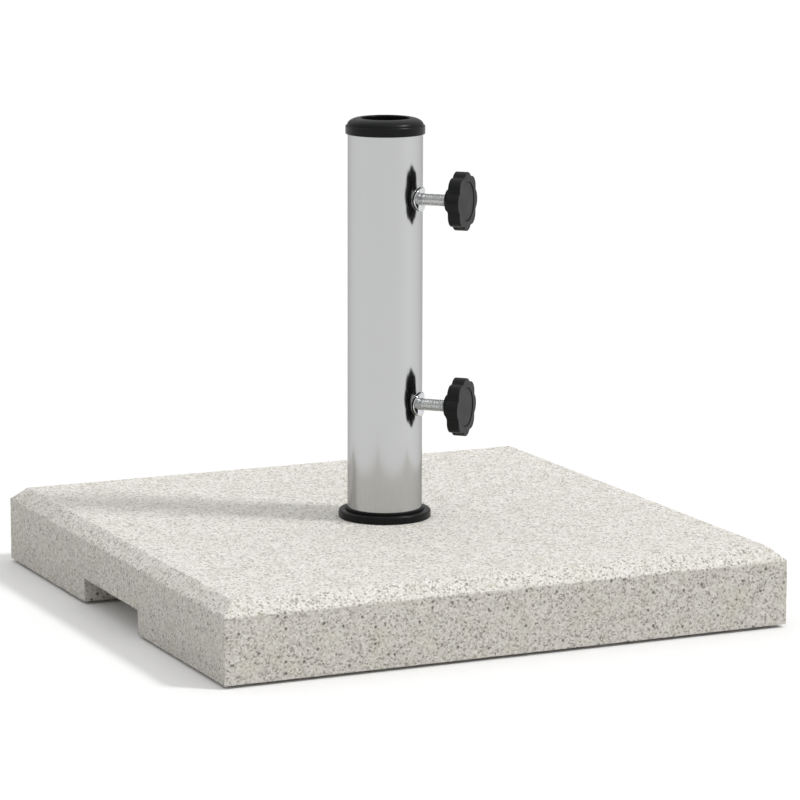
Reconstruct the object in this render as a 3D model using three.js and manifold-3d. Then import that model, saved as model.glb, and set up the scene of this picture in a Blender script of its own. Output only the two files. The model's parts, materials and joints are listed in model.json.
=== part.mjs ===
// Free-standing parasol base: a square granite slab with a stainless stand tube bolted to its centre,
// a plastic cap and cover ring on the tube, and two hand screws that clamp the parasol pole.
// Millimetres, +Z up. The origin is on the ground, under the centre of the slab.

import * as THREE from 'three';
import { mergeVertices } from 'three/addons/utils/BufferGeometryUtils.js';
import Module from 'manifold-3d';

const wasm = await Module();
wasm.setup();

// ---- Driving dimensions -------------------------------------------------------------------------

const FIT_GAP = 0.3; // radial clearance between a part and the hole it sits in
const SEAT_GAP = 0.1; // clearance between faces that rest on each other
const CUT_OVERRUN = 5; // how far a cutting solid runs past the face that it opens

const SLAB_SIDE = 400;
const SLAB_THICKNESS = 52;
const SLAB_CHAMFER_RUN = 9.6;
const SLAB_CHAMFER_RISE = 8.8;
const SLAB_ARRIS = 1.2; // the small break on the bottom edges

const NOTCH_WIDTH = 100; // finger notches under the two opposite X faces
const NOTCH_HEIGHT = 16;
const NOTCH_DEPTH = 40;

const PAD_DIAMETER = 32; // rubber pads under the slab's corners
const PAD_THICKNESS = 2;
const PAD_EDGE_DISTANCE = 45;
const PAD_ARRIS = 0.5;

const RECESS_DIAMETER = 50; // recess under the slab for the centre bolt's head and washers
const RECESS_DEPTH = 16;
const BOLT_HOLE_DIAMETER = 14;

const TUBE_DIAMETER = 50.8;
const TUBE_WALL = 1.5;
const TUBE_CAP_BITE = 2.7; // how far the tube's end reaches up into the cap's rim

const FLANGE_DIAMETER = 59; // steel foot that the tube is welded to
const FLANGE_THICKNESS = 3;
const SPIGOT_HEIGHT = 8; // the part of the foot that stands inside the tube and carries the pole
const SPIGOT_ARRIS = 0.8;

const RING_DIAMETER = 62.9; // plastic ring that covers the foot
const RING_WALL = 1.6;
const RING_HEIGHT = 5.2;
const RING_EDGE_RADIUS = 1.5;
const RING_LIP_HEIGHT = 7; // collar that hugs the tube above the ring's top face
const RING_LIP_THICKNESS = 1;
const RING_GROOVE_WIDTH = 0.5;
const RING_GROOVE_DEPTH = 0.5;

const CAP_BAND_BOTTOM = 313.7; // height of the cap's rim above the slab's underside
const CAP_BAND_DIAMETER = 53.7;
const CAP_BAND_HEIGHT = 5.7;
const CAP_BAND_ARRIS = 0.5;
const CAP_DOME_RISE = 5;
const CAP_DOME_RUN = 8.4;
const CAP_MOUTH_DIAMETER = 33;
const CAP_LIP_RADIUS = 1;
const CAP_RIM_WALL = 1.15;
const CAP_GUIDE_WALL = 1.7; // inner collar that guides the pole
const CAP_GUIDE_DROP = 8;
const CAP_SLEEVE_WALL = 1.7; // outer sleeve that plugs into the tube
const CAP_SLEEVE_DROP = 16;
const CAP_ROOF_THICKNESS = 2.4;

const CLAMP_HEIGHTS = { lower: 131, upper: 270.5 }; // screw axes above the slab's underside
const CLAMP_AZIMUTH = THREE.MathUtils.degToRad(-45); // both screws point at one corner of the slab

const SCREW_DIAMETER = 8;
const SCREW_HEAD_ACROSS_FLATS = 13;
const SCREW_HEAD_THICKNESS = 5;
const SCREW_PIN_DIAMETER = 3; // turned-down end that the pressure pad snaps on to
const SCREW_PIN_LENGTH = 1.7;

const TIP_RADIUS = 17.6; // distance from the tube's axis to the pressure pad's face, screw backed off
const TIP_DIAMETER = 6.2;
const TIP_THICKNESS = 2.8;

const INSERT_INNER_END = 17.5; // threaded insert: distances from the tube's axis
const INSERT_COLLAR_START = 20.2;
const INSERT_COLLAR_END = 22.4;
const INSERT_BODY_END = 26.2; // inside the flange
const INSERT_BODY_DIAMETER = 11;
const INSERT_COLLAR_DIAMETER = 14;
const INSERT_FLANGE_WIDTH = 21; // across the tube
const INSERT_FLANGE_HEIGHT = 16.2; // along the tube
const INSERT_FLANGE_INNER = 26.05; // radii of the flange, which is curved like the tube and stands off it
const INSERT_FLANGE_OUTER = 26.95;
const INSERT_ARRIS = 0.3;

const KNOB_BACK = 50.2; // distance from the tube's axis to the back of the knob's lobes
const KNOB_THICKNESS = 8.6;
const KNOB_LOBES = 8;
const KNOB_RADIUS = 19.8;
const KNOB_LOBE_RADIUS = 8;
const KNOB_VALLEY_RADIUS = 1.4;
const KNOB_EDGE = 0.5;
const KNOB_HUB_DIAMETER = 15.6;
const KNOB_HUB_LENGTH = 5.8;
const KNOB_CAP_DIAMETER = 26;
const KNOB_CAP_THICKNESS = 1.4;
const KNOB_CAP_RECESS = 0.4; // the cap's face lies this far below the knob's

const BOLT_DIAMETER = 12;
const BOLT_HEAD_ACROSS_FLATS = 18;
const BOLT_HEAD_THICKNESS = 7.5;
const BOLT_TIP_BELOW_SEAT = 1;
const WASHER_DIAMETER = 44;
const WASHER_THICKNESS = 3;
const SPRING_WASHER_DIAMETER = 20.4;
const SPRING_WASHER_THICKNESS = 2.5;
const SPRING_WASHER_SLIT = 1.6;

const ROUND_STEPS = 40; // facets round the tube, cap and ring
const SMALL_STEPS = 20; // facets round bolts, pads and washers
const HEX_STEPS = 6;
const ARC_STEPS = 3; // facets along a rounded edge or a knob's lobe
const DOME_STEPS = 5;

// ---- Heights and radii that follow from them ----------------------------------------------------

const SLAB_BOTTOM_Z = PAD_THICKNESS;
const SLAB_TOP_Z = SLAB_BOTTOM_Z + SLAB_THICKNESS;
const FLANGE_BOTTOM_Z = SLAB_TOP_Z + SEAT_GAP;
const FLANGE_TOP_Z = FLANGE_BOTTOM_Z + FLANGE_THICKNESS;
const SEAT_Z = FLANGE_TOP_Z + SPIGOT_HEIGHT;
const CAP_Z = SLAB_BOTTOM_Z + CAP_BAND_BOTTOM;
const TUBE_BOTTOM_Z = FLANGE_TOP_Z + SEAT_GAP;
const TUBE_TOP_Z = CAP_Z + TUBE_CAP_BITE;
const RECESS_TOP_Z = SLAB_BOTTOM_Z + RECESS_DEPTH;

const TUBE_OUTER = TUBE_DIAMETER / 2;
const TUBE_INNER = TUBE_OUTER - TUBE_WALL;
const KNOB_FRONT = KNOB_BACK + KNOB_THICKNESS;
const KNOB_HUB_BACK = KNOB_BACK - KNOB_HUB_LENGTH;
const KNOB_CAP_BACK = KNOB_FRONT - KNOB_CAP_RECESS - KNOB_CAP_THICKNESS;
const SCREW_HEAD_TOP = KNOB_CAP_BACK - SEAT_GAP;
const SCREW_HEAD_BOTTOM = SCREW_HEAD_TOP - SCREW_HEAD_THICKNESS;
const SCREW_END = TIP_RADIUS + TIP_THICKNESS + SEAT_GAP;

// ---- Materials ----------------------------------------------------------------------------------

const finish = (color, roughness, metalness) =>
  new THREE.MeshStandardMaterial({ color, roughness, metalness });

const GRANITE = () => finish(0xcfcdc0, 0.85, 0);
const STAINLESS = () => finish(0xc4c6c8, 0.28, 1);
const ZINC_STEEL = () => finish(0xb4b7ba, 0.35, 1);
const PLAIN_STEEL = () => finish(0x8b8e91, 0.5, 1);
const BLACK_PLASTIC = () => finish(0x1f2022, 0.45, 0);
const RUBBER = () => finish(0x2a2a2b, 0.9, 0);
const NYLON = () => finish(0xe4e2da, 0.5, 0);

// ---- Shape helpers ------------------------------------------------------------------------------

/** Joins a geometry's seams and drops the zero-area triangles at a lathe's poles. */
function weld(geometry) {
  const bare = geometry.clone();
  bare.deleteAttribute('normal');
  bare.deleteAttribute('uv');
  const merged = mergeVertices(bare);
  const corners = merged.index.array;
  const kept = [];
  for (let i = 0; i < corners.length; i += 3) {
    const [a, b, c] = corners.slice(i, i + 3);
    if (a !== b && b !== c && c !== a) {
      kept.push(a, b, c);
    }
  }
  merged.setIndex(kept);
  return merged;
}

/** A closed three.js geometry as a solid that can be joined and cut. */
function toSolid(geometry) {
  const welded = weld(geometry);
  return new wasm.Manifold(new wasm.Mesh({
    numProp: 3,
    vertProperties: Float32Array.from(welded.attributes.position.array),
    triVerts: Uint32Array.from(welded.index.array),
  }));
}

function toGeometry(solid) {
  const { vertProperties, triVerts } = solid.getMesh();
  const geometry = new THREE.BufferGeometry();
  geometry.setAttribute('position', new THREE.BufferAttribute(Float32Array.from(vertProperties), 3));
  geometry.setIndex(new THREE.BufferAttribute(Uint32Array.from(triVerts), 1));
  geometry.computeVertexNormals();
  return geometry;
}

/** Cuts each of the tools out of a geometry. */
function cut(geometry, ...tools) {
  const left = tools.reduce((solid, tool) => solid.subtract(toSolid(tool)), toSolid(geometry));
  return toGeometry(left);
}

/** Turns a profile of [radius, height] points about +Z, outer side upwards. */
function revolve(profile, steps = ROUND_STEPS, turn = 0) {
  const points = profile.map(([radius, height]) => new THREE.Vector2(radius, height));
  return weld(new THREE.LatheGeometry(points, steps, turn).rotateX(Math.PI / 2));
}

/** A ring: a profile that closes on itself, clear of the axis. */
function revolveRing(profile, steps = ROUND_STEPS) {
  return revolve([...profile, profile[0]], steps);
}

/** A plain disc or rod about +Z. */
function rod(radius, bottom, top, steps = SMALL_STEPS) {
  return revolve([[0, bottom], [radius, bottom], [radius, top], [0, top]], steps);
}

/** Points of an elliptic arc in a profile, both ends included. */
function arc([centreR, centreZ], [runR, riseZ], fromDegrees, toDegrees, steps) {
  return Array.from({ length: steps + 1 }, (_, i) => {
    const angle = THREE.MathUtils.degToRad(fromDegrees + ((toDegrees - fromDegrees) * i) / steps);
    return [centreR + runR * Math.cos(angle), centreZ + riseZ * Math.sin(angle)];
  });
}

/** The corner radius of a hexagon, from the distance between its flats. */
const hexRadius = (acrossFlats) => acrossFlats / Math.sqrt(3);

const model = new THREE.Group();

function addPart(parent, name, geometry, material) {
  const mesh = new THREE.Mesh(geometry, material);
  mesh.name = name;
  parent.add(mesh);
  return mesh;
}

// ---- Granite slab -------------------------------------------------------------------------------

/** Square block with a chamfer round its top; a four-sided lathe's radius reaches to its corners. */
function slabBlock() {
  const toCorner = Math.SQRT2;
  const half = SLAB_SIDE / 2;
  return revolve([
    [0, SLAB_BOTTOM_Z],
    [(half - SLAB_ARRIS) * toCorner, SLAB_BOTTOM_Z],
    [half * toCorner, SLAB_BOTTOM_Z + SLAB_ARRIS],
    [half * toCorner, SLAB_TOP_Z - SLAB_CHAMFER_RISE],
    [(half - SLAB_CHAMFER_RUN) * toCorner, SLAB_TOP_Z],
    [0, SLAB_TOP_Z],
  ], 4, Math.PI / 4);
}

/** The cutting block for the finger notch under one X face. */
function notchBlock(side) {
  const length = NOTCH_DEPTH + CUT_OVERRUN;
  const height = NOTCH_HEIGHT + CUT_OVERRUN;
  return new THREE.BoxGeometry(length, NOTCH_WIDTH, height).translate(
    side * (SLAB_SIDE / 2 - NOTCH_DEPTH + length / 2),
    0,
    SLAB_BOTTOM_Z + NOTCH_HEIGHT - height / 2,
  );
}

function graniteSlab() {
  const recess = rod(RECESS_DIAMETER / 2, SLAB_BOTTOM_Z - CUT_OVERRUN, RECESS_TOP_Z, ROUND_STEPS);
  const hole = rod(BOLT_HOLE_DIAMETER / 2, SLAB_BOTTOM_Z - CUT_OVERRUN, SLAB_TOP_Z + CUT_OVERRUN);
  return cut(slabBlock(), notchBlock(-1), notchBlock(1), recess, hole);
}

addPart(model, 'granite_slab', graniteSlab(), GRANITE());

function footPad() {
  const radius = PAD_DIAMETER / 2;
  const top = PAD_THICKNESS - SEAT_GAP;
  return revolve([
    [0, 0],
    [radius - PAD_ARRIS, 0],
    [radius, PAD_ARRIS],
    [radius, top],
    [0, top],
  ], SMALL_STEPS);
}

const PAD_CENTRE = SLAB_SIDE / 2 - PAD_EDGE_DISTANCE;
for (const [endName, alongY] of [['front', -1], ['back', 1]]) {
  for (const [sideName, alongX] of [['left', -1], ['right', 1]]) {
    const pad = addPart(model, `${endName}_${sideName}_foot_pad`, footPad(), RUBBER());
    pad.position.set(alongX * PAD_CENTRE, alongY * PAD_CENTRE, 0);
  }
}

// ---- Tube and its foot --------------------------------------------------------------------------

/** Round plate with a spigot, bored for the centre bolt. The spigot's top is the pole's seat. */
function tubeFoot() {
  const bore = BOLT_DIAMETER / 2 + FIT_GAP;
  const spigot = TUBE_INNER - FIT_GAP;
  return revolveRing([
    [bore, FLANGE_BOTTOM_Z],
    [FLANGE_DIAMETER / 2, FLANGE_BOTTOM_Z],
    [FLANGE_DIAMETER / 2, FLANGE_TOP_Z],
    [spigot, FLANGE_TOP_Z],
    [spigot, SEAT_Z - SPIGOT_ARRIS],
    [spigot - SPIGOT_ARRIS, SEAT_Z],
    [bore, SEAT_Z],
  ]);
}

/** Puts a solid whose +Z is a clamp's outward direction where that clamp is. */
function clampPlacement(height) {
  const outward = new THREE.Matrix4().makeRotationY(Math.PI / 2);
  const turned = new THREE.Matrix4().makeRotationZ(CLAMP_AZIMUTH).multiply(outward);
  return turned.setPosition(0, 0, SLAB_BOTTOM_Z + height);
}

/** Straight tube with a round hole in its wall for each threaded insert. */
function standTube() {
  const blank = revolveRing([
    [TUBE_INNER, TUBE_BOTTOM_Z],
    [TUBE_OUTER, TUBE_BOTTOM_Z],
    [TUBE_OUTER, TUBE_TOP_Z],
    [TUBE_INNER, TUBE_TOP_Z],
  ]);
  const holes = Object.values(CLAMP_HEIGHTS).map((height) => {
    const drill = rod(INSERT_BODY_DIAMETER / 2 + FIT_GAP, 0, TUBE_OUTER + CUT_OVERRUN);
    return drill.applyMatrix4(clampPlacement(height));
  });
  return cut(blank, ...holes);
}

/** Shallow cover over the foot's flange, with a thin groove between its top face and its collar. */
function coverRing() {
  const outer = RING_DIAMETER / 2;
  const edge = outer - RING_EDGE_RADIUS;
  const top = SLAB_TOP_Z + RING_HEIGHT;
  const lipTop = SLAB_TOP_Z + RING_LIP_HEIGHT;
  const bore = TUBE_OUTER + FIT_GAP;
  const lip = bore + RING_LIP_THICKNESS;
  const lipArris = RING_LIP_THICKNESS / 3;
  const underside = FLANGE_TOP_Z + FIT_GAP;
  return revolveRing([
    [outer - RING_WALL, FLANGE_BOTTOM_Z],
    [outer, FLANGE_BOTTOM_Z],
    ...arc([edge, top - RING_EDGE_RADIUS], [RING_EDGE_RADIUS, RING_EDGE_RADIUS], 0, 90, ARC_STEPS),
    [lip + RING_GROOVE_WIDTH, top],
    [lip + RING_GROOVE_WIDTH, top - RING_GROOVE_DEPTH],
    [lip, top - RING_GROOVE_DEPTH],
    [lip, lipTop - lipArris],
    [lip - lipArris, lipTop],
    [bore, lipTop],
    [bore, underside],
    [outer - RING_WALL, underside],
  ]);
}

addPart(model, 'tube_foot', tubeFoot(), PLAIN_STEEL());
addPart(model, 'stand_tube', standTube(), STAINLESS());
addPart(model, 'base_cover_ring', coverRing(), BLACK_PLASTIC());

// ---- Top cap ------------------------------------------------------------------------------------

/**
 * Domed cap with a rim over the tube's end, a sleeve inside the tube and a collar that guides the pole.
 * Heights are measured from the rim's lower edge.
 */
function topCap() {
  const band = CAP_BAND_DIAMETER / 2;
  const mouth = CAP_MOUTH_DIAMETER / 2;
  const crown = mouth + CAP_LIP_RADIUS;
  const domeStart = crown + CAP_DOME_RUN;
  const top = CAP_BAND_HEIGHT + CAP_DOME_RISE;
  const sleeve = TUBE_INNER - FIT_GAP;
  const guide = mouth + CAP_GUIDE_WALL;
  const roof = top - CAP_ROOF_THICKNESS;
  const tubeEnd = TUBE_CAP_BITE + FIT_GAP;
  return revolveRing([
    [band - CAP_RIM_WALL, 0],
    [band - CAP_BAND_ARRIS, 0],
    [band, CAP_BAND_ARRIS],
    [band, CAP_BAND_HEIGHT - CAP_BAND_ARRIS],
    [domeStart, CAP_BAND_HEIGHT],
    ...arc([crown, CAP_BAND_HEIGHT], [CAP_DOME_RUN, CAP_DOME_RISE], 90 / DOME_STEPS, 90, DOME_STEPS - 1),
    ...arc([crown, top - CAP_LIP_RADIUS], [CAP_LIP_RADIUS, CAP_LIP_RADIUS], 120, 180, ARC_STEPS - 1),
    [mouth, -CAP_GUIDE_DROP],
    [guide, -CAP_GUIDE_DROP],
    [guide, roof],
    [sleeve - CAP_SLEEVE_WALL, roof - CAP_SLEEVE_WALL],
    [sleeve - CAP_SLEEVE_WALL, -CAP_SLEEVE_DROP],
    [sleeve - CAP_BAND_ARRIS, -CAP_SLEEVE_DROP],
    [sleeve, CAP_BAND_ARRIS - CAP_SLEEVE_DROP],
    [sleeve, tubeEnd],
    [band - CAP_RIM_WALL, tubeEnd],
  ]);
}

addPart(model, 'top_cap', topCap(), BLACK_PLASTIC()).position.z = CAP_Z;

// ---- Centre bolt and its washers ----------------------------------------------------------------

/** Slit ring: a spring washer pressed flat. */
function springWasher(bottom, top) {
  const inner = BOLT_DIAMETER / 2 + FIT_GAP;
  const outer = SPRING_WASHER_DIAMETER / 2;
  const slit = new THREE.BoxGeometry(outer * 2, SPRING_WASHER_SLIT, (top - bottom) * 2);
  slit.translate(outer, 0, (top + bottom) / 2);
  return cut(revolveRing([[inner, bottom], [outer, bottom], [outer, top], [inner, top]], SMALL_STEPS), slit);
}

function flatWasher(bottom, top) {
  const inner = BOLT_DIAMETER / 2 + FIT_GAP;
  const outer = WASHER_DIAMETER / 2;
  return revolveRing([[inner, bottom], [outer, bottom], [outer, top], [inner, top]]);
}

/** Hexagon bolt, head down. */
function centreBolt(headTop) {
  const head = rod(hexRadius(BOLT_HEAD_ACROSS_FLATS), headTop - BOLT_HEAD_THICKNESS, headTop, HEX_STEPS);
  const shank = rod(BOLT_DIAMETER / 2, headTop - BOLT_HEAD_THICKNESS / 2, SEAT_Z - BOLT_TIP_BELOW_SEAT);
  return toGeometry(toSolid(head).add(toSolid(shank)));
}

const WASHER_TOP_Z = RECESS_TOP_Z - SEAT_GAP;
const WASHER_BOTTOM_Z = WASHER_TOP_Z - WASHER_THICKNESS;
const SPRING_WASHER_TOP_Z = WASHER_BOTTOM_Z - SEAT_GAP;
const SPRING_WASHER_BOTTOM_Z = SPRING_WASHER_TOP_Z - SPRING_WASHER_THICKNESS;
addPart(model, 'flat_washer', flatWasher(WASHER_BOTTOM_Z, WASHER_TOP_Z), ZINC_STEEL());
addPart(model, 'spring_washer', springWasher(SPRING_WASHER_BOTTOM_Z, SPRING_WASHER_TOP_Z), ZINC_STEEL());
addPart(model, 'centre_bolt', centreBolt(SPRING_WASHER_BOTTOM_Z - SEAT_GAP), ZINC_STEEL());

// ---- Clamp screws -------------------------------------------------------------------------------
// Each clamp is built along +Z, with Z the distance from the tube's axis, and then laid on its side.

/** Rivet nut: body, the collar squeezed up behind the tube's wall and an oval flange curved like the tube. */
function threadedInsert() {
  const bore = SCREW_DIAMETER / 2 + FIT_GAP;
  const body = INSERT_BODY_DIAMETER / 2;
  const collar = INSERT_COLLAR_DIAMETER / 2;
  const barrel = revolveRing([
    [bore, INSERT_INNER_END],
    [body, INSERT_INNER_END],
    [body, INSERT_COLLAR_START],
    [collar, INSERT_COLLAR_START + INSERT_ARRIS],
    [collar, INSERT_COLLAR_END - INSERT_ARRIS],
    [body, INSERT_COLLAR_END],
    [body, INSERT_BODY_END],
    [bore, INSERT_BODY_END],
  ], SMALL_STEPS);
  const reach = INSERT_FLANGE_OUTER + CUT_OVERRUN;
  const oval = rod(1, INSERT_COLLAR_END, reach, ROUND_STEPS)
    .scale(INSERT_FLANGE_HEIGHT / 2, INSERT_FLANGE_WIDTH / 2, 1);
  const inside = rod(INSERT_FLANGE_INNER, -reach, reach, ROUND_STEPS);
  const outside = revolveRing([
    [INSERT_FLANGE_OUTER, -reach],
    [reach + CUT_OVERRUN, -reach],
    [reach + CUT_OVERRUN, reach],
    [INSERT_FLANGE_OUTER, reach],
  ]);
  const hole = rod(bore, INSERT_COLLAR_END, reach + CUT_OVERRUN);
  const flange = cut(oval, inside.rotateY(Math.PI / 2), outside.rotateY(Math.PI / 2), hole);
  return toGeometry(toSolid(barrel).add(toSolid(flange)));
}

/** Hexagon-head screw with a turned-down pin at its end. */
function clampScrew() {
  const radius = SCREW_DIAMETER / 2;
  const pin = SCREW_PIN_DIAMETER / 2;
  const shank = revolve([
    [0, SCREW_END - SCREW_PIN_LENGTH],
    [pin, SCREW_END - SCREW_PIN_LENGTH],
    [pin, SCREW_END],
    [TIP_DIAMETER / 2, SCREW_END],
    [radius, SCREW_END + radius - TIP_DIAMETER / 2],
    [radius, SCREW_HEAD_TOP - SCREW_HEAD_THICKNESS / 2],
    [0, SCREW_HEAD_TOP - SCREW_HEAD_THICKNESS / 2],
  ], SMALL_STEPS);
  const head = rod(hexRadius(SCREW_HEAD_ACROSS_FLATS), SCREW_HEAD_BOTTOM, SCREW_HEAD_TOP, HEX_STEPS);
  return toGeometry(toSolid(head).add(toSolid(shank)));
}

/** Small nylon disc that presses on the pole, with a blind socket for the screw's pin. */
function pressurePad() {
  const outer = TIP_DIAMETER / 2;
  const socket = SCREW_PIN_DIAMETER / 2 + FIT_GAP;
  const socketBottom = SCREW_END - SCREW_PIN_LENGTH - FIT_GAP;
  return revolve([
    [0, TIP_RADIUS],
    [outer - INSERT_ARRIS, TIP_RADIUS],
    [outer, TIP_RADIUS + INSERT_ARRIS],
    [outer, TIP_RADIUS + TIP_THICKNESS],
    [socket, TIP_RADIUS + TIP_THICKNESS],
    [socket, socketBottom],
    [0, socketBottom],
  ], SMALL_STEPS);
}

/** Star outline: round lobes joined by round valleys, each arc tangent to its neighbours. */
function starOutline(inset) {
  const step = (2 * Math.PI) / KNOB_LOBES;
  const lobeCentre = KNOB_RADIUS - KNOB_LOBE_RADIUS;
  const between = KNOB_LOBE_RADIUS + KNOB_VALLEY_RADIUS;
  const across = lobeCentre * Math.sin(step / 2);
  const valleyCentre = lobeCentre * Math.cos(step / 2) + Math.sqrt(between ** 2 - across ** 2);
  const lobeSweep = Math.PI - Math.acos(
    (lobeCentre ** 2 + between ** 2 - valleyCentre ** 2) / (2 * lobeCentre * between),
  );
  const valleySweep = lobeSweep - step / 2;
  const outline = new THREE.Shape();
  for (let i = 0; i < KNOB_LOBES; i += 1) {
    const lobe = i * step;
    const valley = lobe + step / 2;
    outline.absarc(
      lobeCentre * Math.cos(lobe),
      lobeCentre * Math.sin(lobe),
      KNOB_LOBE_RADIUS - inset,
      lobe - lobeSweep,
      lobe + lobeSweep,
      false,
    );
    outline.absarc(
      valleyCentre * Math.cos(valley),
      valleyCentre * Math.sin(valley),
      KNOB_VALLEY_RADIUS + inset,
      valley + Math.PI + valleySweep,
      valley + Math.PI - valleySweep,
      true,
    );
  }
  return outline;
}

/** Lobed knob with a hub behind it, a recess for the cap, a hexagon socket and a hole for the screw. */
function knobGrip() {
  const lobes = new THREE.ExtrudeGeometry(starOutline(KNOB_EDGE), {
    depth: KNOB_THICKNESS - 2 * KNOB_EDGE,
    bevelThickness: KNOB_EDGE,
    bevelSize: KNOB_EDGE,
    bevelSegments: 1,
    curveSegments: ARC_STEPS,
  }).translate(0, 0, KNOB_BACK + KNOB_EDGE);
  const hubRadius = KNOB_HUB_DIAMETER / 2;
  const hub = revolve([
    [0, KNOB_HUB_BACK],
    [hubRadius - KNOB_EDGE, KNOB_HUB_BACK],
    [hubRadius, KNOB_HUB_BACK + KNOB_EDGE],
    [hubRadius, KNOB_BACK + KNOB_EDGE],
    [0, KNOB_BACK + KNOB_EDGE],
  ], SMALL_STEPS);
  const recess = rod(KNOB_CAP_DIAMETER / 2 + FIT_GAP, KNOB_CAP_BACK - SEAT_GAP, KNOB_FRONT + CUT_OVERRUN);
  const socketRadius = hexRadius(SCREW_HEAD_ACROSS_FLATS + 2 * FIT_GAP);
  const socket = rod(socketRadius, SCREW_HEAD_BOTTOM - SEAT_GAP, KNOB_FRONT, HEX_STEPS);
  const hole = rod(SCREW_DIAMETER / 2 + FIT_GAP, KNOB_HUB_BACK - CUT_OVERRUN, KNOB_FRONT);
  const blank = toSolid(lobes).add(toSolid(hub));
  return cut(toGeometry(blank), recess, socket, hole);
}

function knobCap() {
  const radius = KNOB_CAP_DIAMETER / 2;
  const front = KNOB_CAP_BACK + KNOB_CAP_THICKNESS;
  return revolve([
    [0, KNOB_CAP_BACK],
    [radius, KNOB_CAP_BACK],
    [radius, front - INSERT_ARRIS],
    [radius - INSERT_ARRIS, front],
    [0, front],
  ], SMALL_STEPS);
}

for (const [name, height] of Object.entries(CLAMP_HEIGHTS)) {
  const clamp = new THREE.Group();
  clamp.applyMatrix4(clampPlacement(height));
  addPart(clamp, `${name}_threaded_insert`, threadedInsert(), ZINC_STEEL());
  addPart(clamp, `${name}_clamp_screw`, clampScrew(), ZINC_STEEL());
  addPart(clamp, `${name}_pressure_pad`, pressurePad(), NYLON());
  addPart(clamp, `${name}_knob_grip`, knobGrip(), BLACK_PLASTIC());
  addPart(clamp, `${name}_knob_cap`, knobCap(), BLACK_PLASTIC());
  model.add(clamp);
}

export default model;
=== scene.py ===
"""Looks of the granite parasol base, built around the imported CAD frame. Metres, +Z up."""
import json
import math

import bmesh
import bpy
from mathutils import Matrix, Vector, noise


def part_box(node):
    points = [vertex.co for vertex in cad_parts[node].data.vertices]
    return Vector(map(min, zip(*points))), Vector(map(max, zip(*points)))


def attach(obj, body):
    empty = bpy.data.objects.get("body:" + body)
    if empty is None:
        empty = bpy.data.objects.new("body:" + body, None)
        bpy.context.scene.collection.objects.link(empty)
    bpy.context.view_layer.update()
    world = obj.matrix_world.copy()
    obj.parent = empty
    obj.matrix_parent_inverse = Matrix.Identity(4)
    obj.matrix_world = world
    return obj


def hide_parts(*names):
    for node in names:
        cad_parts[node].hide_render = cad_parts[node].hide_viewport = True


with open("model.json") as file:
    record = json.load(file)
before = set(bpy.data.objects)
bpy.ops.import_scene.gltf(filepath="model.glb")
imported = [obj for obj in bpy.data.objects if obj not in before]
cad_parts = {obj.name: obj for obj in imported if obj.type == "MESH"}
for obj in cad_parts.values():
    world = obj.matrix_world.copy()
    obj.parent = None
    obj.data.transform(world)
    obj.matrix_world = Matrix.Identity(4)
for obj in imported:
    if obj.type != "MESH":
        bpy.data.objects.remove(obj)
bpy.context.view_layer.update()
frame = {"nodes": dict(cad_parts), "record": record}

MM = 0.001
UP = Vector((0, 0, 1))

# ---- Camera and stage -------------------------------------------------------------------------------

CAMERA_PLACE = (-1.0718, -2.3380, 0.5998)
CAMERA_AZIMUTH = math.radians(-24.857)
CAMERA_TILT = math.radians(10.262)  # how far it looks down
CAMERA_ROLL = math.radians(0.15)
CAMERA_LENS = 173.3
SENSOR = 36.0

FLOOR_HALF_SIDE = 30.0
FLOOR_TONE = 0.94
FLOOR_ROUGHNESS = 0.62
SKY_HORIZON = 0.35
SKY_ZENITH = 1.03
SUN_DIRECTION = (0.80, -0.60, 1.15)
SUN_ANGLE = math.radians(9)
SUN_STRENGTH = 1.46


def make_camera():
    """A long lens from the front left, a little above the object."""
    back = Vector((
        math.sin(CAMERA_AZIMUTH) * math.cos(CAMERA_TILT),
        -math.cos(CAMERA_AZIMUTH) * math.cos(CAMERA_TILT),
        math.sin(CAMERA_TILT),
    ))
    right = UP.cross(back).normalized()
    turn = Matrix((right, back.cross(right), back)).transposed()
    data = bpy.data.cameras.new("camera")
    data.lens = CAMERA_LENS
    data.sensor_width = SENSOR
    camera = bpy.data.objects.new("camera", data)
    roll = Matrix.Rotation(CAMERA_ROLL, 4, "Z")
    camera.matrix_world = Matrix.Translation(CAMERA_PLACE) @ turn.to_4x4() @ roll
    bpy.context.collection.objects.link(camera)
    bpy.context.scene.camera = camera


def make_sun():
    """A far lamp over the corner that the knobs point at, with soft-edged shadows."""
    data = bpy.data.lights.new("key", "SUN")
    data.angle = SUN_ANGLE
    data.energy = SUN_STRENGTH
    lamp = bpy.data.objects.new("key", data)
    lamp.rotation_euler = Vector(SUN_DIRECTION).to_track_quat("Z", "Y").to_euler()
    bpy.context.collection.objects.link(lamp)


def make_sky():
    """An even studio sky, brighter overhead than at the horizon."""
    world = bpy.data.worlds.new("studio")
    bpy.context.scene.world = world
    world.use_nodes = True
    nodes, links = world.node_tree.nodes, world.node_tree.links
    place = nodes.new("ShaderNodeTexCoord")
    split = nodes.new("ShaderNodeSeparateXYZ")
    height = nodes.new("ShaderNodeValToRGB")
    for stop, tone in zip(height.color_ramp.elements, (SKY_HORIZON, SKY_ZENITH)):
        stop.color = (tone, tone, tone, 1)
    links.new(place.outputs["Generated"], split.inputs["Vector"])
    links.new(split.outputs["Z"], height.inputs["Fac"])
    links.new(height.outputs["Color"], nodes["Background"].inputs["Color"])


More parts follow.
